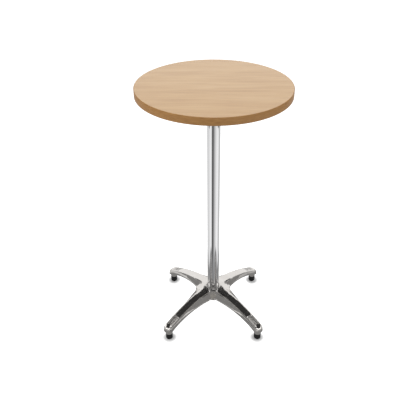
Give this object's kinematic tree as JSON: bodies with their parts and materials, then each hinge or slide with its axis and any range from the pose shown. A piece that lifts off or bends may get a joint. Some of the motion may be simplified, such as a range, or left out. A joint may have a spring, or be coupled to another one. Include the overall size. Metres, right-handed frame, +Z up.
{
  "type": "standing meeting table",
  "caption": "Bar-height standing table with a round beech-coloured top, a chromed tube column and a polished cast cross-shaped base on adjustable feet.",
  "frame": {"origin": "on the floor under the column, midway between the feet", "axes": "+Z up along the column; the arms point along the diagonals between X and Y; the side seen in the picture faces -Y"},
  "size_m": [0.5999, 0.6, 1.125],
  "materials": {
    "beech_face": "beech-pattern laminate, satin",
    "beech_edge": "beech-pattern edging, darker than the face, satin",
    "board": "raw particle board",
    "backing": "light grey backing laminate, matte",
    "plate_grey": "grey powder coat",
    "zinc_steel": "zinc-plated steel",
    "chrome_tube": "polished chrome plate",
    "polished_aluminium": "polished casting",
    "glide_plastic": "black moulded plastic"
  },
  "bodies": {
    "table": {"top_laminate": "beech_face", "board_core": "board", "backing_laminate": "backing", "edge_band": "beech_edge", "mounting_plate": "plate_grey", "plate_socket": "plate_grey", "plate_screws": "zinc_steel", "column_tube": "chrome_tube", "tie_rod": "zinc_steel", "tie_rod_top_nut": "zinc_steel", "tie_rod_top_washer": "zinc_steel", "base_casting": "polished_aluminium", "clamp_washer": "zinc_steel", "spring_washer": "zinc_steel", "tie_rod_bottom_nut": "zinc_steel", "foot_insert_1": "zinc_steel", "foot_insert_2": "zinc_steel", "foot_insert_3": "zinc_steel", "foot_insert_4": "zinc_steel"},
    "glide_1": {"foot_glide_1": "glide_plastic"},
    "stud_1": {"foot_stud_1": "zinc_steel"},
    "glide_2": {"foot_glide_2": "glide_plastic"},
    "stud_2": {"foot_stud_2": "zinc_steel"},
    "glide_3": {"foot_glide_3": "glide_plastic"},
    "stud_3": {"foot_stud_3": "zinc_steel"},
    "glide_4": {"foot_glide_4": "glide_plastic"},
    "stud_4": {"foot_stud_4": "zinc_steel"}
  },
  "joints": [
    {"name": "foot_lift_1", "type": "slide", "parent": "table", "child": "glide_1", "axis": [0, 0, -1], "range_m": [0, 0.012]},
    {"name": "foot_turn_1", "type": "hinge", "parent": "glide_1", "child": "stud_1", "pos_m": [0.2, 0.2, 0], "axis": [0, 0, -1], "range_deg": [0, 2880]},
    {"name": "foot_lift_2", "type": "slide", "parent": "table", "child": "glide_2", "axis": [0, 0, -1], "range_m": [0, 0.012]},
    {"name": "foot_turn_2", "type": "hinge", "parent": "glide_2", "child": "stud_2", "pos_m": [-0.2, 0.2, 0], "axis": [0, 0, -1], "range_deg": [0, 2880]},
    {"name": "foot_lift_3", "type": "slide", "parent": "table", "child": "glide_3", "axis": [0, 0, -1], "range_m": [0, 0.012]},
    {"name": "foot_turn_3", "type": "hinge", "parent": "glide_3", "child": "stud_3", "pos_m": [-0.2, -0.2, 0], "axis": [0, 0, -1], "range_deg": [0, 2880]},
    {"name": "foot_lift_4", "type": "slide", "parent": "table", "child": "glide_4", "axis": [0, 0, -1], "range_m": [0, 0.012]},
    {"name": "foot_turn_4", "type": "hinge", "parent": "glide_4", "child": "stud_4", "pos_m": [0.2, -0.2, 0], "axis": [0, 0, -1], "range_deg": [0, 2880]}
  ],
  "couplings": [
    {"joint": "foot_turn_1", "follows": "foot_lift_1", "rad_per_m": 4188.8},
    {"joint": "foot_turn_2", "follows": "foot_lift_2", "rad_per_m": 4188.8},
    {"joint": "foot_turn_3", "follows": "foot_lift_3", "rad_per_m": 4188.8},
    {"joint": "foot_turn_4", "follows": "foot_lift_4", "rad_per_m": 4188.8}
  ]
}
